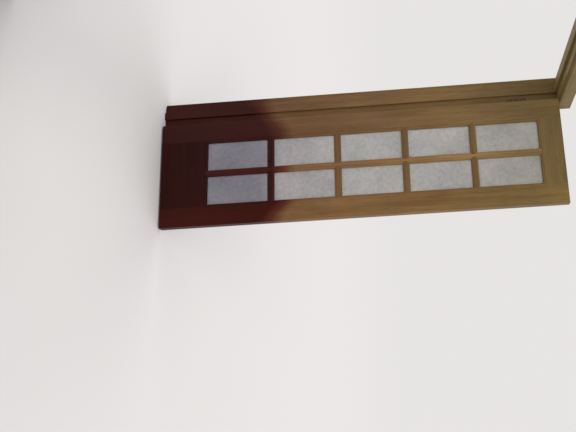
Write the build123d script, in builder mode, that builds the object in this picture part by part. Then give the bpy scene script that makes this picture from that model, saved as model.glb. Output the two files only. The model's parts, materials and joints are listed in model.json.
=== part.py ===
"""Pair of ten-light and fifteen-light glazed doors of unequal width in a lined, architraved opening.

Millimetres. X runs across the opening, with the small leaf's jamb at the right, Y through the wall
from the room side to the hall side, and Z up. The origin is the centre of the right jamb's foot.
"""
from build123d import *
import os

os.makedirs("parts", exist_ok=True)

# Leaves
leaf_height = 1981.0
leaf_thick = 40.0
small_width = 533.0
main_width = 762.0
small_columns = 2
main_columns = 3
rows = 5
stile_sight = 108.0
top_sight = 116.0
bottom_sight = 232.0
bar_sight = 34.0
arris = 1.5

# Moulded and rebated edge of every stile, rail and bar
mould_width = 12.0
quirk = 2.0
ovolo = mould_width - quirk
glass_seat = 26.0

# Joints of the joinery
tenon_thick = 14.0
tenon_centre = glass_seat - tenon_thick / 2
rail_tenon = 62.0
rail_haunch = 30.0
stub_depth = 20.0
halving = glass_seat / 2

# Panes and beads
glass_thick = 4.0
glass_edge = 2.0
bead_width = 10.0
bead_recess = 2.0
bead_splay = 4.0
bead_mitre = 0.2

# Opening and the gaps round the leaves
floor_gap = 8.0
head_gap = 3.0
hinge_gap = 3.0
meeting_gap = 3.0
opening = small_width + main_width + 2 * hinge_gap + meeting_gap
head_under = floor_gap + leaf_height + head_gap

# Lining, stops and architraves
lining_thick = 32.0
lining_width = 115.0
housing = 12.0
stop_thick = 12.0
stop_width = 38.0
stop_clear = 1.5
stop_arris = 2.0
architrave_width = 66.0
architrave_thick = 16.0
architrave_round = 10.0
architrave_edge = 2.0
margin = 6.0

# Butt hinges
hinge_height = 100.0
hinge_top = 150.0
hinge_foot = 225.0
plate_thick = 2.5
plate_reach = 27.0
barrel_radius = 5.5
pin_radius = 2.5
pin_clear = 0.06
pin_proud = 7.0
barrel_clear = 0.3
knuckles = 3

# Rest poses, measured from closed
small_open = 90.0
main_open = 160.0

# Places worked out from the sizes above
right_face = -lining_thick / 2
left_face = right_face - opening
room_edge = -lining_width / 2
hall_edge = lining_width / 2
head_top = head_under + lining_thick
jamb_height = head_under + housing
stop_start = room_edge + leaf_thick + stop_clear
centre_x = (left_face + right_face) / 2
stile_body = stile_sight - mould_width
top_body = top_sight - mould_width
bottom_body = bottom_sight - mould_width
bar_body = bar_sight - 2 * mould_width
pane_height = (leaf_height - top_sight - bottom_sight - (rows - 1) * bar_sight) / rows
knuckle_pitch = hinge_height / knuckles
middle_knuckle = (0,)
outer_knuckles = (-1, 1)
hinge_rises = [hinge_foot + hinge_height / 2, leaf_height - hinge_top - hinge_height / 2]
top_tenons = [leaf_height - rail_haunch - rail_tenon / 2]
bottom_tenons = [rail_haunch + rail_tenon / 2, bottom_body - rail_haunch - rail_tenon / 2]
bar_rises = [
    bottom_sight + row * (pane_height + bar_sight) - bar_sight / 2 for row in range(1, rows)
]
pane_rises = [
    bottom_sight + row * (pane_height + bar_sight) + pane_height / 2 for row in range(rows)
]


def save(made, label, place=Location()):
    """Put a finished piece where it stands and write it to its own file."""
    made.part = made.part.moved(place)
    made.part.label = label
    export_step(made.part, f"parts/{label}.step")


def along(origin, run):
    """Plane across a member that runs along one axis, with the hall face towards its +Y."""
    return Plane(origin=origin, x_dir=Vector(0, 1, 0).cross(Vector(*run)), z_dir=run)


def member_section(body, both=False, room_face=0.0, eased=0.0):
    """Section of a stile, rail or bar, with a rebated and moulded edge at +X or at both sides."""
    edge = body / 2
    shoulder = leaf_thick - quirk
    with BuildSketch() as section:
        Rectangle(body, leaf_thick - room_face, align=(Align.CENTER, Align.MAX))
        if eased:
            fillet(section.vertices().group_by(Axis.X)[0], eased)
    with BuildSketch() as moulded:
        with Locations((0, leaf_thick)):
            add(section.sketch)
        with BuildLine():
            CenterArc((edge + quirk, shoulder - ovolo), ovolo, 0, 90)
            Polyline((edge + quirk, shoulder), (edge, shoulder), (edge, glass_seat))
            Polyline(
                (edge, glass_seat),
                (edge + mould_width, glass_seat),
                (edge + mould_width, shoulder - ovolo),
            )
        make_face()
        if both:
            mirror(about=Plane.YZ)
    return moulded.sketch


def pane_columns(width, columns):
    """Sight width of one pane and the centre of each column of panes."""
    clear = (width - 2 * stile_sight - (columns - 1) * bar_sight) / columns
    centres = [stile_sight + clear / 2 + col * (clear + bar_sight) for col in range(columns)]
    return clear, centres


def hinge_plates(face_x, pin_x, outward, own, other):
    """The plates on one side of a leaf's hinges, with their knuckles; the outer pair carries the pin."""
    reach = plate_reach + pin_proud
    with BuildPart() as plates:
        for rise in hinge_rises:
            with Locations((face_x - outward * plate_thick / 2, plate_reach - reach / 2, rise)):
                Box(plate_thick, reach, hinge_height)
            with Locations(*[(pin_x, -pin_proud, rise + n * knuckle_pitch) for n in other]):
                Cylinder(
                    barrel_radius + barrel_clear,
                    knuckle_pitch + barrel_clear,
                    mode=Mode.SUBTRACT,
                )
            with Locations(*[(pin_x, -pin_proud, rise + n * knuckle_pitch) for n in own]):
                Cylinder(barrel_radius, knuckle_pitch - barrel_clear)
            with Locations((pin_x, -pin_proud, rise)):
                if own == middle_knuckle:
                    Cylinder(pin_radius + pin_clear, hinge_height, mode=Mode.SUBTRACT)
                else:
                    Cylinder(pin_radius, hinge_height - barrel_clear)
    return plates


def hinge_bed(face_x, outward):
    """Cut the shallow beds that let hinge plates into the stile or jamb being built."""
    with Locations(*[(face_x - outward * plate_thick / 2, plate_reach / 2, z) for z in hinge_rises]):
        Box(plate_thick, plate_reach, hinge_height, mode=Mode.SUBTRACT)


def make_leaf(name, width, columns, hinge_side, place):
    """Every piece of one leaf, drawn from its lower left corner and moved to its place."""
    clear, centres = pane_columns(width, columns)
    uprights = [x + (clear + bar_sight) / 2 for x in centres[:-1]]
    mid = leaf_height / 2
    inner = width - 2 * stile_body
    hinge_x = width if hinge_side > 0 else 0.0
    pin_x = hinge_x + hinge_side * hinge_gap / 2

    # Stiles, mortised right through for the rails and part way for the cross bars
    stiles = []
    for side in (-1, 1):
        centre = stile_body / 2 if side < 0 else width - stile_body / 2
        role = "hinge" if side == hinge_side else "meeting"
        with BuildPart() as stile:
            with BuildSketch(along((centre, 0, mid), (0, 0, -side))):
                add(member_section(stile_body, eased=arris))
            extrude(amount=mid, both=True)
            with Locations(*[(centre, tenon_centre, z) for z in top_tenons + bottom_tenons]):
                Box(stile_body, tenon_thick, rail_tenon, mode=Mode.SUBTRACT)
            stub_x = centre - side * (stile_body - stub_depth) / 2
            with Locations(*[(stub_x, tenon_centre, z) for z in bar_rises]):
                Box(stub_depth, tenon_thick, bar_body, mode=Mode.SUBTRACT)
            if side == hinge_side:
                hinge_bed(hinge_x, hinge_side)
        stiles.append(stile.part)
        save(stile, f"{name}_{role}_stile", place)

    # Rails, coped over the stiles and mortised for the upright bars
    rails = []
    for role, body, centre, run, tenons in (
        ("top", top_body, leaf_height - top_body / 2, 1, top_tenons),
        ("bottom", bottom_body, bottom_body / 2, -1, bottom_tenons),
    ):
        with BuildPart() as rail:
            with BuildSketch(along((width / 2, 0, centre), (run, 0, 0))):
                add(member_section(body))
            extrude(amount=inner / 2, both=True)
            add(stiles, mode=Mode.SUBTRACT)
            with Locations(*[(width / 2, tenon_centre, z) for z in tenons]):
                Box(width, tenon_thick, rail_tenon)
            stub_z = centre - run * (body - stub_depth) / 2
            with Locations(*[(x, tenon_centre, stub_z) for x in uprights]):
                Box(bar_body, tenon_thick, stub_depth, mode=Mode.SUBTRACT)
        rails.append(rail.part)
        save(rail, f"{name}_{role}_rail", place)

    # Upright bars, notched on the room side where the cross bars pass
    low = bottom_body
    high = leaf_height - top_body
    for number, x in enumerate(uprights, 1):
        with BuildPart() as upright:
            with BuildSketch(along((x, 0, (low + high) / 2), (0, 0, 1))):
                add(member_section(bar_body, both=True))
            extrude(amount=(high - low) / 2, both=True)
            add(rails, mode=Mode.SUBTRACT)
            with Locations((x, tenon_centre, (low + high) / 2)):
                Box(bar_body, tenon_thick, high - low + 2 * stub_depth)
            with Locations(*[(x, halving / 2, z) for z in bar_rises]):
                Box(bar_body, halving, bar_body, mode=Mode.SUBTRACT)
        suffix = f"_{number}" if len(uprights) > 1 else ""
        save(upright, f"{name}_upright_bar{suffix}", place)

    # Cross bars, coped over the stiles and halved over the upright bars
    for number, z in enumerate(reversed(bar_rises), 1):
        with BuildPart() as cross:
            with BuildSketch(along((width / 2, 0, z), (1, 0, 0))):
                add(member_section(bar_body, both=True))
            extrude(amount=inner / 2, both=True)
            add(stiles, mode=Mode.SUBTRACT)
            with Locations((width / 2, tenon_centre, z)):
                Box(inner + 2 * stub_depth, tenon_thick, bar_body)
            for x in uprights:
                with BuildSketch(along((x, 0, z), (0, 0, 1))):
                    add(member_section(bar_body, both=True, room_face=halving))
                extrude(amount=bar_sight, both=True, mode=Mode.SUBTRACT)
        save(cross, f"{name}_cross_bar_{number}", place)

    # Panes against the moulding's back, and mitred beads that hold them from the room side
    glass_grow = 2 * (mould_width - glass_edge)
    glass_y = glass_seat - glass_thick / 2
    if columns == small_columns:
        groups = [[(x, glass_y, z)] for z in reversed(pane_rises) for x in centres]
        pane_name = f"{name}_pane"
    else:
        groups = [[(x, glass_y, z) for x in centres] for z in reversed(pane_rises)]
        pane_name = f"{name}_pane_row"
    for number, group in enumerate(groups, 1):
        with BuildPart() as pane:
            with Locations(*group):
                Box(clear + glass_grow, glass_thick, pane_height + glass_grow)
        save(pane, f"{pane_name}_{number}", place)

    bead_depth = glass_seat - glass_thick - bead_recess
    outer = (clear + 2 * mould_width, pane_height + 2 * mould_width)
    with BuildPart() as ring:
        with BuildSketch(Plane.XZ):
            Rectangle(*outer)
            Rectangle(outer[0] - 2 * bead_width, outer[1] - 2 * bead_width, mode=Mode.SUBTRACT)
        extrude(amount=-bead_depth)
        front = ring.faces().sort_by(Axis.Y)[0]
        chamfer(front.inner_wires()[0].edges(), bead_splay)
        for sx in (-1, 1):
            for sz in (-1, 1):
                corner = Vector(sx * (outer[0] - bead_width) / 2, 0, sz * (outer[1] - bead_width) / 2)
                slit = Plane(origin=corner, x_dir=(sx, 0, sz), z_dir=(sz, 0, -sx))
                with Locations(slit):
                    Box(bead_width * 2, leaf_thick * 2, bead_mitre, mode=Mode.SUBTRACT)
    with BuildPart() as beads:
        with Locations(*[(x, bead_recess, z) for x in centres for z in pane_rises]):
            add(ring.part)
    save(beads, f"{name}_beads", place)

    # Hinge plates on the leaf, each with the middle knuckle
    plates = hinge_plates(hinge_x, pin_x, hinge_side, middle_knuckle, outer_knuckles)
    save(plates, f"{name}_hinge_plates", place)


def swing(place, pin_x, angle):
    """Turn a closed leaf about its hinge pins."""
    pin = Location((pin_x, room_edge - pin_proud, 0))
    return pin * Location((0, 0, 0), (0, 0, angle)) * pin.inverse() * place


# Where each leaf stands closed, and the hinge side of the opening it hangs on
small_closed = Location((right_face - hinge_gap - small_width, room_edge, floor_gap))
main_closed = Location((left_face + hinge_gap, room_edge, floor_gap))
small_pin = right_face - hinge_gap / 2
main_pin = left_face + hinge_gap / 2
make_leaf("small", small_width, small_columns, 1, swing(small_closed, small_pin, small_open))
make_leaf("main", main_width, main_columns, -1, swing(main_closed, main_pin, -main_open))

# Frame plates of the hinges, drawn beside the closed leaves
plates = hinge_plates(
    small_width + hinge_gap, small_width + hinge_gap / 2, -1, outer_knuckles, middle_knuckle
)
save(plates, "right_frame_hinge_plates", small_closed)
plates = hinge_plates(-hinge_gap, -hinge_gap / 2, 1, outer_knuckles, middle_knuckle)
save(plates, "left_frame_hinge_plates", main_closed)

# Jambs, let up into the head, with hinge beds on the room side
for name, face_x, side, closed in (
    ("left", left_face, -1, main_closed),
    ("right", right_face, 1, small_closed),
):
    leaf_x = face_x - closed.position.X
    with BuildPart() as jamb:
        with Locations((leaf_x + side * lining_thick / 2, lining_width / 2, jamb_height / 2 - floor_gap)):
            Box(lining_thick, lining_width, jamb_height)
        hinge_bed(leaf_x, -side)
    save(jamb, f"{name}_jamb", closed)

    # Stop planted on the jamb, its free arrises eased
    with BuildPart() as stop:
        centre = (face_x - side * stop_thick / 2, stop_start + stop_width / 2, 0)
        with BuildSketch(Plane(origin=centre, x_dir=(-side, 0, 0), z_dir=(0, 0, 1))) as section:
            Rectangle(stop_thick, stop_width)
            fillet(section.vertices().group_by(Axis.X)[-1], stop_arris)
        extrude(amount=head_under - stop_thick)
    save(stop, f"{name}_stop")

# Head of the lining, housed over the jambs, and its stop
with BuildPart() as head_lining:
    with Locations((centre_x, 0, head_under + lining_thick / 2)):
        Box(opening + 2 * lining_thick, lining_width, lining_thick)
    for side in (-1, 1):
        jamb_x = centre_x + side * (opening + lining_thick) / 2
        with Locations((jamb_x, 0, head_under + housing / 2)):
            Box(lining_thick, lining_width, housing, mode=Mode.SUBTRACT)
save(head_lining, "head_lining")

with BuildPart() as head_stop:
    centre = (centre_x, stop_start + stop_width / 2, head_under - stop_thick / 2)
    with BuildSketch(Plane(origin=centre, x_dir=(0, 0, -1), z_dir=(1, 0, 0))) as section:
        Rectangle(stop_thick, stop_width)
        fillet(section.vertices().group_by(Axis.X)[-1], stop_arris)
    extrude(amount=opening / 2, both=True)
save(head_stop, "head_stop")


def architrave(origin, outward, face, length):
    """A straight run of architrave, its round edge at the opening and its back on the wall."""
    run = Vector(*outward).cross(Vector(0, face, 0))
    with BuildPart() as made:
        with BuildSketch(Plane(origin=origin, x_dir=outward, z_dir=run)) as section:
            Rectangle(architrave_width, architrave_thick, align=(Align.MIN, Align.MIN))
            inner = section.vertices().group_by(Axis.X)[0]
            fillet(inner.sort_by(Axis.Y)[-1], architrave_round)
            outer = section.vertices().group_by(Axis.X)[-1]
            fillet(outer.sort_by(Axis.Y)[-1], architrave_edge)
        extrude(amount=length / 2, both=True)
    return made


# Architraves on both sides of the wall, mitred at the head
head_inner = head_under + margin
head_outer = head_inner + architrave_width
inner_right = right_face + margin
inner_left = left_face - margin
mitre_right = Plane(origin=(inner_right, 0, head_inner), z_dir=(1, 0, -1))
mitre_left = Plane(origin=(inner_left, 0, head_inner), z_dir=(-1, 0, -1))
for wall, face, wall_y in (("room", -1, room_edge), ("hall", 1, hall_edge)):
    for name, inner_x, side, mitre in (
        ("left", inner_left, -1, mitre_left),
        ("right", inner_right, 1, mitre_right),
    ):
        leg = architrave((inner_x, wall_y, head_outer / 2), (side, 0, 0), face, head_outer)
        with BuildPart() as cut_leg:
            add(leg.part)
            split(bisect_by=mitre, keep=Keep.TOP)
        save(cut_leg, f"{wall}_{name}_architrave")
    span = opening + 2 * (margin + architrave_width)
    top = architrave((centre_x, wall_y, head_inner), (0, 0, 1), face, span)
    with BuildPart() as cut_head:
        add(top.part)
        split(bisect_by=mitre_right, keep=Keep.BOTTOM)
        split(bisect_by=mitre_left, keep=Keep.BOTTOM)
    save(cut_head, f"{wall}_head_architrave")
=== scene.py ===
# %% [markdown]
# A pair of glazed timber doors of unequal width, hung in a lined and architraved doorway. Every stile,
# rail, bar, pane and hinge already has its real shape in the loaded frame, so this lesson is about
# finishes: stained wood whose grain runs along each member, obscured glass, and dull hinge metal. The
# screw heads and stopped pins are added at the end.

# %% Load the frame
import json
import math

import bmesh
import bpy
from mathutils import Matrix, Vector


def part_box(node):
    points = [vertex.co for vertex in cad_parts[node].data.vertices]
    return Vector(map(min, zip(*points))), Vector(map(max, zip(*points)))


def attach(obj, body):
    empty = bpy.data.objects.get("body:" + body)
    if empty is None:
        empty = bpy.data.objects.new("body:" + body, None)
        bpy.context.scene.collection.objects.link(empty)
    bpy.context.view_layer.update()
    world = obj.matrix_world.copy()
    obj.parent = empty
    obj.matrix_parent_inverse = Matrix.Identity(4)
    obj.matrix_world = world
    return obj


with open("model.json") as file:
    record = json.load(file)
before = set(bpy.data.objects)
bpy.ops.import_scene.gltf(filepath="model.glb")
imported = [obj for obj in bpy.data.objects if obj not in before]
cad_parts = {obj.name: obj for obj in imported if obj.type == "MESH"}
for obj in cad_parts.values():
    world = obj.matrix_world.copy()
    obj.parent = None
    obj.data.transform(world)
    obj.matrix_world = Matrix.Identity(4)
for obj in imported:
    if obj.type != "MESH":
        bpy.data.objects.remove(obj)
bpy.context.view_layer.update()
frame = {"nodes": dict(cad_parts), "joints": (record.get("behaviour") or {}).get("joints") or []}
nodes = frame["nodes"]
scene = bpy.context.scene

# %% [markdown]
# The picture was taken from inside the room, looking across the doorway at the hall side of the open
# narrow leaf, and it lies on its side: the floor is at the left. A camera has three directions, its right,
# its up and its back. Here they are worked out from the direction of the view and the tilt of the picture,
# and written into the camera's matrix, because Euler angles are hard to read when a camera lies on its side.
# The picture is a cut part of a larger one, so the lens didn't point at its middle. A lens shift says so
# without turning the camera, and keeps the lines of the doorway where the picture has them.

# %% Camera
picture_width, focal_length, centre_offset = 576, 700, -112  # all in pixels
sensor_width = 36
standpoint = (-3.282, -1.478, 1.349)
yaw, pitch, roll = (math.radians(angle) for angle in (15.053, -2.866, -3.609))
forward = Vector((math.cos(pitch) * math.cos(yaw), math.cos(pitch) * math.sin(yaw), math.sin(pitch)))
level = Vector((math.sin(yaw), -math.cos(yaw), 0))
upright = level.cross(forward)
across = level * math.cos(roll) + upright * math.sin(roll)
upward = upright * math.cos(roll) - level * math.sin(roll)

camera_data = bpy.data.cameras.new("camera")
camera_data.sensor_width = sensor_width
camera_data.lens = sensor_width * focal_length / picture_width
camera_data.shift_x = centre_offset / picture_width
camera = bpy.data.objects.new("camera", camera_data)
turned = Matrix((upward, -across, -forward)).transposed()
camera.matrix_world = Matrix.Translation(standpoint) @ turned.to_4x4()
scene.collection.objects.link(camera)
scene.camera = camera
print("camera looks along", [round(v, 3) for v in forward])

# %% [markdown]
# The sky, and every finish after it, is a tree of nodes. Two helpers keep the trees short: feed links an
# input that is given a socket and sets one that is given a value, and add makes a node and feeds it.
#
# The camera sees a plain pale backdrop, and so do gloss and glass, or the panes and hinges would mirror a
# colour that the picture doesn't have. What lights the doors is another sky, a little cooler and weaker.
# The kind of the ray chooses between them.

# %% Sky
def feed(tree, target, inputs):
    """Link each input that is given a socket, and set each that is given a value."""
    for name, value in inputs.items():
        if isinstance(value, bpy.types.NodeSocket):
            tree.links.new(value, target.inputs[name])
        else:
            target.inputs[name].default_value = value


def add(tree, kind, inputs=None, **settings):
    """New node with its settings made and its inputs fed."""
    made = tree.nodes.new(kind)
    for name, value in settings.items():
        setattr(made, name, value)
    feed(tree, made, inputs or {})
    return made


scene.view_settings.view_transform = "Standard"
backdrop = (0.80, 0.78, 0.77, 1)
world = bpy.data.worlds.new("studio")
scene.world = world
world.use_nodes = True
sky = world.node_tree
sky.nodes.clear()
ray = add(sky, "ShaderNodeLightPath").outputs
shows = ray["Is Camera Ray"]
for kind in ("Is Glossy Ray", "Is Transmission Ray"):
    shows = add(sky, "ShaderNodeMath", {0: shows, 1: ray[kind]}, operation="MAXIMUM").outputs[0]
lit = add(sky, "ShaderNodeBackground", {"Color": (0.96, 0.97, 1.0, 1), "Strength": 0.75})
seen = add(sky, "ShaderNodeBackground", {"Color": backdrop, "Strength": 1.0})
pick = add(sky, "ShaderNodeMixShader", {"Fac": shows, 1: lit.outputs[0], 2: seen.outputs[0]})
add(sky, "ShaderNodeOutputWorld", {"Surface": pick.outputs[0]})
print("sky nodes", len(sky.nodes))

# %% [markdown]
# Three broad suns with soft edges. The key is slightly warm and shines from the camera's side, on the hall
# side of the narrow leaf. The other two lift the far sides, so that the doors can be looked at all round.

# %% Suns
def sun(name, towards, strength, spread, colour):
    """A sun lamp that shines towards a direction."""
    data = bpy.data.lights.new(name, "SUN")
    data.energy = strength
    data.angle = math.radians(spread)
    data.color = colour
    lamp = bpy.data.objects.new(name, data)
    lamp.rotation_mode = "QUATERNION"
    lamp.rotation_quaternion = Vector(towards).to_track_quat("-Z", "Y")
    scene.collection.objects.link(lamp)


sun("key", towards=(0.72, 0.22, -0.64), strength=1.1, spread=50, colour=(1.0, 0.96, 0.90))
sun("fill", towards=(-0.45, 0.60, -0.66), strength=0.5, spread=70, colour=(0.95, 0.97, 1.0))
sun("behind", towards=(-0.25, -0.72, -0.65), strength=0.7, spread=60, colour=(1.0, 0.98, 0.95))
print("lights", [lamp.name for lamp in bpy.data.lights])

# %% [markdown]
# The floor takes the doors' shadow. Further out it fades to the backdrop's colour, by its distance from the
# doors on its own coordinates, so that no horizon cuts the picture.

# %% Floor
def ranged(tree, value, given=(0, 1), wanted=(0, 1), **settings):
    """A value moved from the range that it has to the range that is wanted, and held inside it."""
    inputs = {"From Min": given[0], "From Max": given[1], "To Min": wanted[0], "To Max": wanted[1]}
    return add(tree, "ShaderNodeMapRange", {"Value": value, **inputs}, **settings).outputs["Result"]


floor_mesh = bpy.data.meshes.new("floor")
shape = bmesh.new()
bmesh.ops.create_circle(shape, cap_ends=True, segments=96, radius=40)
shape.to_mesh(floor_mesh)
shape.free()
floor = bpy.data.objects.new("floor", floor_mesh)
scene.collection.objects.link(floor)
floor_look = bpy.data.materials.new("floor")
floor_look.use_nodes = True
tree = floor_look.node_tree
tree.nodes.clear()
place = add(tree, "ShaderNodeTexCoord").outputs["Object"]
reach = add(tree, "ShaderNodeVectorMath", {0: place}, operation="LENGTH").outputs["Value"]
fade = ranged(tree, reach, given=(5, 16))
near = add(tree, "ShaderNodeBsdfDiffuse", {"Color": (0.70, 0.68, 0.67, 1)})
far = add(tree, "ShaderNodeEmission", {"Color": backdrop})
mixed = add(tree, "ShaderNodeMixShader", {"Fac": fade, 1: near.outputs[0], 2: far.outputs[0]})
add(tree, "ShaderNodeOutputMaterial", {"Surface": mixed.outputs[0]})
floor_mesh.materials.append(floor_look)
print("floor faces", len(floor_mesh.polygons))

# %% [markdown]
# Height matters to every finish here, because each carries painted shade. The foot of the doors is painted
# dark and reddish up to a little over the lowest panes, with a soft border, and towards the head the colour
# is painted a little darker and more olive. A ramp of colours over the height above the floor multiplies
# each finish. It has few stops, each a height in metres and a tint, and between two stops the tint runs
# evenly.

# %% Tints by height
def new_look(name):
    """New material, with its tree, its shader and the coordinates of the piece that wears it."""
    look = bpy.data.materials.new(name)
    look.use_nodes = True
    tree = look.node_tree
    return look, tree, tree.nodes["Principled BSDF"], add(tree, "ShaderNodeTexCoord").outputs["Object"]


def ramp(tree, value, stops):
    """Colour that follows a value through the stops, each a position and a colour."""
    blend = add(tree, "ShaderNodeValToRGB", {"Fac": value})
    elements = blend.color_ramp.elements
    first, *between, last = stops
    for element, (position, colour) in zip(elements, (first, last)):
        element.position = position
        element.color = (*colour, 1)
    for position, colour in between:
        elements.new(position).color = (*colour, 1)
    return blend.outputs["Color"]


def tint_by_height(tree, height, stops):
    """Tint that follows the height through the stops, each a height in metres and a colour."""
    low, high = stops[0][0], stops[-1][0]
    shares = [((level - low) / (high - low), colour) for level, colour in stops]
    return ramp(tree, ranged(tree, height, given=(low, high)), shares)


def axes_of(tree, place):
    """The coordinates taken apart: X, Y to the hall, and Z, the height above the floor."""
    return add(tree, "ShaderNodeSeparateXYZ", {"Vector": place}).outputs


def product(tree, first, second):
    """Two colours multiplied."""
    inputs = {0: first, 1: second}
    return add(tree, "ShaderNodeVectorMath", inputs, operation="MULTIPLY").outputs["Vector"]


# Painted shade on the wood: dark and reddish at the foot, a little darker and olive at the head.
wood_by_height = (
    (0.60, (0.190, 0.036, 0.038)), (0.66, (0.43, 0.18, 0.21)), (0.72, (0.86, 0.75, 0.82)),
    (1.50, (1.0, 1.0, 1.0)), (1.95, (0.78, 0.86, 0.82)), (2.15, (0.86, 1.0, 0.84)),
)
# Painted shade on the panes: the lowest row darker and bluer, the topmost a little darker and warmer.
glass_by_height = (
    (0.50, (0.49, 0.48, 0.57)), (0.60, (0.84, 0.80, 0.82)), (1.00, (0.97, 0.97, 0.96)),
    (1.40, (0.93, 0.92, 0.90)), (1.75, (0.81, 0.79, 0.73)),
)
# Painted shade on the hinge metal: darker and redder at the foot.
metal_by_height = ((0.60, (0.62, 0.34, 0.40)), (0.66, (0.80, 0.55, 0.60)), (0.72, (1.0, 1.0, 1.0)))
for name, stops in (("wood", wood_by_height), ("glass", glass_by_height), ("metal", metal_by_height)):
    print(name, "is tinted from", stops[0][0], "to", stops[-1][0], "m up")

# %% [markdown]
# The border of the painted shade on the wood isn't level. It curves down in the doorway and at the free
# edge of the narrow leaf, and it drifts where the stain is cloudy. So the ramp on the wood is given a bent
# height: two smooth steps along Y and the clouds are added to the true one.

# %% Border of the dark foot
def maths(tree, operation, *values):
    """One step of arithmetic on sockets and numbers."""
    return add(tree, "ShaderNodeMath", dict(enumerate(values)), operation=operation).outputs[0]


border_curve = (((-0.18, 0.06), (-0.05, 0.10)), ((-0.62, -0.47), (0.09, 0.0)))
border_drift = 0.16


def bent_height(tree, place, clouds):
    """Height above the floor, raised where the dark foot ends lower."""
    axes = axes_of(tree, place)
    height = axes["Z"]
    for depths, lifts in border_curve:
        bend = ranged(tree, axes["Y"], depths, lifts, interpolation_type="SMOOTHSTEP")
        height = maths(tree, "ADD", bend, height)
    return maths(tree, "MULTIPLY_ADD", clouds, border_drift, height)


print("border bends", len(border_curve), "drift", border_drift, "m")

# %% [markdown]
# Stained wood. A real board shows long streaks along its run, fine open pores that hold more stain, and
# cloudy patches where the stain took more or less. All three are noise, squeezed across the run and drawn
# out along it, so the same pattern gives streaks on the faces and speckle on the sawn ends. A turn about the
# upright axis first brings the pattern into line with a leaf that stands open, and a seed moves it, so that
# no two members show the same piece of tree. The varnish is a thin coat with a gloss of its own.

# %% Stained wood
stain = ((0.28, (0.146, 0.081, 0.028)), (0.50, (0.201, 0.119, 0.045)), (0.72, (0.243, 0.151, 0.061)))
seed_step = (1.7, 0.9, 2.3)
coat_share = 0.3


def noise(tree, where, scale, detail=2, distortion=0):
    """Cloudy noise with so many features to the metre."""
    inputs = {"Vector": where, "Scale": scale, "Detail": detail, "Distortion": distortion}
    return add(tree, "ShaderNodeTexNoise", inputs).outputs["Fac"]


def bumped(tree, height, strength, distance):
    """Surface normal that is tilted by a pattern of heights."""
    inputs = {"Height": height, "Strength": strength, "Distance": distance}
    return add(tree, "ShaderNodeBump", inputs).outputs["Normal"]


def stained_wood(name, run, turn, seed, tone, shine):
    """Stained and varnished wood with its grain along the leaf's own X or Z."""
    look, tree, shader, place = new_look(name)
    shift = tuple(seed * step for step in seed_step)
    turned = {"Vector": place, "Rotation": (0, 0, math.radians(-turn)), "Location": shift}
    board = add(tree, "ShaderNodeMapping", turned).outputs["Vector"]

    def streaks(across, along, detail, distortion=0):
        """Noise drawn out along the run; across and along are features to the metre."""
        size = (along, across, across) if run == "X" else (across, across, along)
        squeezed = add(tree, "ShaderNodeMapping", {"Vector": board, "Scale": size}).outputs["Vector"]
        return noise(tree, squeezed, 1, detail, distortion)

    figure = streaks(across=38, along=1.6, detail=5, distortion=0.6)
    fibres = streaks(across=260, along=7, detail=3)
    pores = streaks(across=650, along=14, detail=1)
    clouds = streaks(across=5, along=2.2, detail=2, distortion=0.3)
    grain = add(tree, "ShaderNodeMix", {"Factor": 0.35, "A": figure, "B": fibres}).outputs["Result"]
    patches = ranged(tree, clouds, given=(0.3, 0.7), wanted=(0.86 * tone, 1.10 * tone))
    filled = ranged(tree, pores, given=(0.56, 0.66), wanted=(1.0, 0.72))
    # Painted shade: the tint by height darkens and reddens the foot and darkens the head towards olive.
    painted_shade_tint = tint_by_height(tree, bent_height(tree, place, clouds), wood_by_height)
    tinted = product(tree, ramp(tree, grain, stain), painted_shade_tint)
    depth = maths(tree, "MULTIPLY", patches, filled)
    shaded = add(tree, "ShaderNodeVectorMath", {0: tinted, "Scale": depth}, operation="SCALE")
    feed(tree, shader, {
        "Base Color": shaded.outputs["Vector"],
        "Roughness": ranged(tree, figure, wanted=(0.40, 0.56)),
        "Normal": bumped(tree, filled, strength=0.35, distance=0.0004),
        "Specular IOR Level": shine,
        "Coat Weight": shine * coat_share,
        "Coat Roughness": 0.25,
    })
    return look


print("stain stops", [position for position, colour in stain])

# %% [markdown]
# Each member is a board of its own. Rails, cross bars and the pieces of the head run level and the others
# upright, and a member of a leaf is turned as far as its leaf stands open. A tone above 1 is a paler board
# and below 1 a darker one. The stops and the pieces of the head are painted paler, a painted light that
# lifts the shade they stand in, and the bottom rails darker, as part of the painted shade at the foot. The
# upright bars, meeting stiles and jambs are paler and the cross bars a little darker. The bottom rails and
# meeting stiles, which hands and feet rub most, have less shine.

# %% Dress the members
leaf_turn = {"small": 90.0, "main": -160.0}
level_members = ("rail", "cross_bar", "head_")
dull_members = ("bottom_rail", "meeting_stile")
full_shine, rubbed_shine = 0.15, 0.10
# The tones of _stop and head_ are painted light, and that of bottom_rail painted shade.
tones = {
    "upright_bar": 1.45, "meeting_stile": 1.15, "jamb": 1.12, "_stop": 1.08, "cross_bar": 0.94,
    "bottom_rail": 0.66, "head_": 1.16,
}


def dress(chosen, look):
    """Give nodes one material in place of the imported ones."""
    for node in chosen:
        materials = nodes[node].data.materials
        materials.clear()
        materials.append(look)


def is_one_of(node, words):
    """Whether a node's name holds one of the words."""
    return any(word in node for word in words)


wood = sorted(node for node in nodes if not is_one_of(node, ("pane", "hinge_plates")))
for count, node in enumerate(wood):
    board_look = stained_wood(
        f"stain_{node}",
        run="X" if is_one_of(node, level_members) else "Z",
        turn=leaf_turn.get(node.split("_")[0], 0.0),
        seed=count,
        tone=next((value for word, value in tones.items() if word in node), 1.0),
        shine=rubbed_shine if is_one_of(node, dull_members) else full_shine,
    )
    dress([node], board_look)
print("stained members", len(wood))
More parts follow.
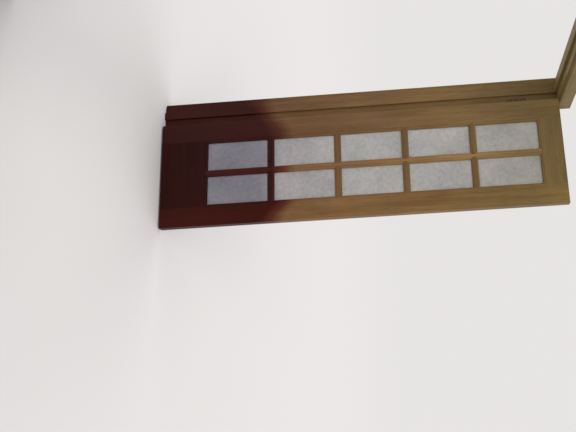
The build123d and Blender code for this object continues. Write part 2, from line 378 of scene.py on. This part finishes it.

# %% [markdown]
# Obscured glass. It is rolled with a fine, soft ripple, so it lets light through but no picture, and the eye
# sees a pale grey with a quiet mottle. Two noises make the mottle, a broad haze and a finer one. Most of the
# pane is a diffuse base, with a part of rough transmission, which keeps it quiet from any side. The lowest
# row is painted duller and bluer, a painted shade that goes with the one at the foot of the wood, and the
# topmost is painted a little duller and warmer, a painted shade too.

# %% Obscured glass
pale = ((0.34, (0.435, 0.44, 0.45)), (0.66, (0.675, 0.665, 0.645)))
glass, tree, shader, place = new_look("obscured_glass")
haze = noise(tree, place, 7, detail=3)
mottle = noise(tree, place, 65, detail=3)
cloudy = add(tree, "ShaderNodeMix", {"Factor": 0.5, "A": haze, "B": mottle}).outputs["Result"]
# Painted shade by row: the lowest row darker and bluer, the topmost darker and warmer.
painted_row_shade = tint_by_height(tree, axes_of(tree, place)["Z"], glass_by_height)
feed(tree, shader, {
    "Base Color": product(tree, ramp(tree, cloudy, pale), painted_row_shade),
    "Normal": bumped(tree, noise(tree, place, 260), strength=0.5, distance=0.0006),
    "Roughness": 0.28,
    "IOR": 1.5,
    "Transmission Weight": 0.35,
})
panes = [node for node in nodes if "pane" in node]
dress(panes, glass)
print("pane nodes", len(panes))

# %% [markdown]
# Hinge metal: pressed steel with a dark bronze lacquer, a little lighter where it is rubbed. A metal's
# colour is its base colour with Metallic at 1, and its age is in the uneven roughness. Low down its colour
# is painted darker and redder, the same painted shade as at the foot of the wood.

# %% Bronzed steel
lacquer = ((0.35, (0.070, 0.048, 0.022)), (0.75, (0.146, 0.106, 0.050)))
bronze, tree, shader, place = new_look("bronzed_steel")
rubbed = noise(tree, place, 90, detail=4)
# Painted shade: darker and redder at the foot.
by_height = tint_by_height(tree, axes_of(tree, place)["Z"], metal_by_height)
feed(tree, shader, {
    "Base Color": product(tree, ramp(tree, rubbed, lacquer), by_height),
    "Roughness": ranged(tree, rubbed, wanted=(0.32, 0.58)),
    "Metallic": 1.0,
})
plates = [node for node in nodes if "hinge_plates" in node]
dress(plates, bronze)
print("hinge nodes", len(plates))

# %% [markdown]
# Fasteners. A hinge plate of this length takes four countersunk screws in two staggered lines, and each
# bead is held by panel pins, punched under and stopped with filler. Drawing every head by hand is dull and
# goes wrong, so two functions list where they sit and which way they face. A place is measured from the
# hinge pin, as if the leaf were shut, and is turned with the leaf afterwards. Sizes are in metres.

# %% Where the fasteners sit
hinge_height, hinge_gap, pin_proud = 0.100, 0.003, 0.007
floor_gap = 0.008
screw_spots = ((0.010, 0.038), (0.018, 0.014), (0.010, -0.014), (0.018, -0.038))
stile_sight, bar_sight, bottom_sight = 0.108, 0.034, 0.232
rows, pane_height = 5, 0.2994
bead_edge, pin_inset, bead_recess = 0.012, 0.0035, 0.002
level_shares, upright_shares = (-0.33, 0.33), (-0.38, 0, 0.38)
leaves = {
    "small": {"width": 0.533, "columns": 2, "run": -1},
    "main": {"width": 0.762, "columns": 3, "run": 1},
}
pins = {joint["child"].split("_")[0]: Vector(joint["pos_m"]) for joint in frame["joints"]}


def from_pin(leaf, turned, along, back, up):
    """World place of a point given from the hinge pin: along the shut leaf, back to the hall, and up."""
    turn = Matrix.Rotation(math.radians(leaf_turn[leaf] if turned else 0), 3, "Z")
    flat = turn @ Vector((leaves[leaf]["run"] * along, back, 0))
    return Vector((pins[leaf].x, pins[leaf].y, up)) + flat


def hinge_screws(leaf, turned):
    """Places and facings of the screws in the plates on a leaf, or on the jamb beside it."""
    low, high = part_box(f"{leaf}_hinge_plates")
    side = 1 if turned else -1
    facing = from_pin(leaf, turned, -side, 0, 0) - from_pin(leaf, turned, 0, 0, 0)
    return [
        (from_pin(leaf, turned, side * hinge_gap / 2, pin_proud + back, rise + up), facing)
        for rise in (low.z + hinge_height / 2, high.z - hinge_height / 2)
        for back, up in screw_spots
    ]


def bead_pins(leaf):
    """Places and facings of the stopped pins: two along each level bead, three along each upright one."""
    columns = leaves[leaf]["columns"]
    clear = (leaves[leaf]["width"] - 2 * stile_sight - (columns - 1) * bar_sight) / columns
    facing = from_pin(leaf, True, 0, -1, 0) - from_pin(leaf, True, 0, 0, 0)
    reach_x = clear / 2 + bead_edge - pin_inset
    reach_z = pane_height / 2 + bead_edge - pin_inset
    ring = [(share * clear, side * reach_z) for share in level_shares for side in (-1, 1)]
    ring += [(side * reach_x, share * pane_height) for share in upright_shares for side in (-1, 1)]
    spots = []
    for column in range(columns):
        for row in range(rows):
            x = hinge_gap / 2 + stile_sight + clear / 2 + column * (clear + bar_sight)
            z = floor_gap + bottom_sight + pane_height / 2 + row * (pane_height + bar_sight)
            for along, up in ring:
                spots.append((from_pin(leaf, True, x + along, pin_proud + bead_recess, z + up), facing))
    return spots


print("screws a leaf", len(hinge_screws("small", True)), "pins", len(bead_pins("small")))

# %% [markdown]
# One head for many places. The node tree makes a low cone, cuts a slot in it if the head is a screw's,
# stands it on every vertex along that vertex's facing, turns it by a seeded random angle, as a hand-driven
# screw ends up, and makes the copies real. Its sizes are named inputs, so that one tree serves screws of any
# size.

# %% A head on every vertex
cone_taper = 0.86


def head_tree(name, sides, slotted):
    """Geometry Nodes tree that stands a round head, slotted or plain, on every vertex."""
    tree = bpy.data.node_groups.new(name, "GeometryNodeTree")
    socket = tree.interface.new_socket
    socket("Places", in_out="INPUT", socket_type="NodeSocketGeometry")
    for label in ("Radius", "Proud", "Sunk", "Slot Width", "Slot Depth"):
        socket(label, in_out="INPUT", socket_type="NodeSocketFloat")
    socket("Seed", in_out="INPUT", socket_type="NodeSocketInt")
    socket("Material", in_out="INPUT", socket_type="NodeSocketMaterial")
    socket("Heads", in_out="OUTPUT", socket_type="NodeSocketGeometry")
    given = add(tree, "NodeGroupInput").outputs

    def lifted(shape, height):
        """A shape moved up along Z."""
        offset = add(tree, "ShaderNodeCombineXYZ", {"Z": height}).outputs["Vector"]
        inputs = {"Geometry": shape, "Translation": offset}
        return add(tree, "GeometryNodeTransform", inputs).outputs["Geometry"]

    cone = add(tree, "GeometryNodeMeshCone", {
        "Vertices": sides,
        "Radius Bottom": given["Radius"],
        "Radius Top": maths(tree, "MULTIPLY", given["Radius"], cone_taper),
        "Depth": maths(tree, "ADD", given["Proud"], given["Sunk"]),
    })
    head = lifted(cone.outputs["Mesh"], maths(tree, "MULTIPLY", given["Sunk"], -1))
    if slotted:
        # The blade is centred on the head's top, so it is twice as deep as the slot, and longer than the
        # head is wide.
        size = add(tree, "ShaderNodeCombineXYZ", {
            "X": maths(tree, "MULTIPLY", given["Radius"], 3),
            "Y": given["Slot Width"],
            "Z": maths(tree, "MULTIPLY", given["Slot Depth"], 2),
        })
        blade = add(tree, "GeometryNodeMeshCube", {"Size": size.outputs["Vector"]})
        meshes = {"Mesh 1": head, "Mesh 2": lifted(blade.outputs["Mesh"], given["Proud"])}
        head = add(tree, "GeometryNodeMeshBoolean", meshes, operation="DIFFERENCE").outputs["Mesh"]

    facing = add(tree, "GeometryNodeInputNamedAttribute", {"Name": "facing"}, data_type="FLOAT_VECTOR")
    along = {"Vector": facing.outputs["Attribute"]}
    aimed = add(tree, "FunctionNodeAlignRotationToVector", along, axis="Z")
    chance = add(tree, "FunctionNodeRandomValue", {"Seed": given["Seed"]}, data_type="FLOAT")
    angle = maths(tree, "MULTIPLY", chance.outputs[1], math.pi)
    spin = add(tree, "FunctionNodeAxisAngleToRotation", {"Angle": angle})
    turns = {"Rotation": aimed.outputs["Rotation"], "Rotate By": spin.outputs["Rotation"]}
    both = add(tree, "FunctionNodeRotateRotation", turns, rotation_space="LOCAL")
    stand = add(tree, "GeometryNodeInstanceOnPoints", {
        "Points": given["Places"],
        "Instance": head,
        "Rotation": both.outputs["Rotation"],
    })
    real = add(tree, "GeometryNodeRealizeInstances", {"Geometry": stand.outputs["Instances"]})
    dressed = {"Geometry": real.outputs["Geometry"], "Material": given["Material"]}
    finish = add(tree, "GeometryNodeSetMaterial", dressed)
    add(tree, "NodeGroupOutput", {"Heads": finish.outputs["Geometry"]})
    return tree


screw_tree = head_tree("slotted_heads", sides=20, slotted=True)
plain_tree = head_tree("plain_heads", sides=10, slotted=False)
print("head trees", screw_tree.name, len(screw_tree.nodes), plain_tree.name, len(plain_tree.nodes))

# %% [markdown]
# The list of places becomes a mesh that has vertices only, each with its facing as an attribute, and the
# tree goes on it as a modifier. A modifier's input is set by the socket's identifier, not by its name.
# Afterwards the result is turned into a plain mesh, so nothing downstream has to know about Geometry Nodes.
# The screws in the jambs ride on the frame, and those in the leaves on their leaf.

# %% Hinge screws
def stand_heads(name, spots, tree, body, slot, material, **sizes):
    """One plain mesh of heads on a list of places and facings, riding on a body."""
    mesh = bpy.data.meshes.new(name)
    mesh.from_pydata([place for place, facing in spots], [], [])
    attribute = mesh.attributes.new("facing", "FLOAT_VECTOR", "POINT")
    for number, (place, facing) in enumerate(spots):
        attribute.data[number].vector = facing
    piece = bpy.data.objects.new(name, mesh)
    scene.collection.objects.link(piece)
    modifier = piece.modifiers.new("heads", "NODES")
    modifier.node_group = tree
    values = {label.replace("_", " ").title(): value for label, value in sizes.items()}
    values["Material"] = material
    for item in tree.interface.items_tree:
        if item.item_type == "SOCKET" and item.in_out == "INPUT" and item.name in values:
            modifier[item.identifier] = values[item.name]
    evaluated = piece.evaluated_get(bpy.context.evaluated_depsgraph_get())
    piece.data = bpy.data.meshes.new_from_object(evaluated)
    piece.modifiers.clear()
    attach(piece, body)
    print(name, "faces", len(piece.data.polygons))


screw_sizes = {
    "radius": 0.0042, "proud": 0.0005, "sunk": 0.0004, "slot_width": 0.0009, "slot_depth": 0.0004,
}
on_jambs = hinge_screws("small", False) + hinge_screws("main", False)
stand_heads(
    "frame_hinge_screws", on_jambs, screw_tree, "frame", "hinge_steel", bronze, seed=3, **screw_sizes,
)
for leaf in leaves:
    stand_heads(
        f"{leaf}_leaf_hinge_screws", hinge_screws(leaf, True), screw_tree, f"{leaf}_leaf", "hinge_steel",
        bronze, seed=5, **screw_sizes,
    )

# %% [markdown]
# The filler over the pins. It is a paste that takes less stain than the wood round it, so the stopped
# pins show as small, slightly paler dots. A plain head, a tenth of a millimetre proud, is enough.

# %% Stopped panel pins
paste = ((0.35, (0.110, 0.055, 0.022)), (0.70, (0.215, 0.125, 0.055)))
stopping, tree, shader, place = new_look("wood_stopping")
feed(tree, shader, {"Base Color": ramp(tree, noise(tree, place, 1400), paste), "Roughness": 0.7})
for leaf in leaves:
    stand_heads(
        f"{leaf}_bead_pins", bead_pins(leaf), plain_tree, f"{leaf}_leaf", "stained_bead", stopping,
        radius=0.0013, proud=0.0001, sunk=0.0003, seed=7,
    )
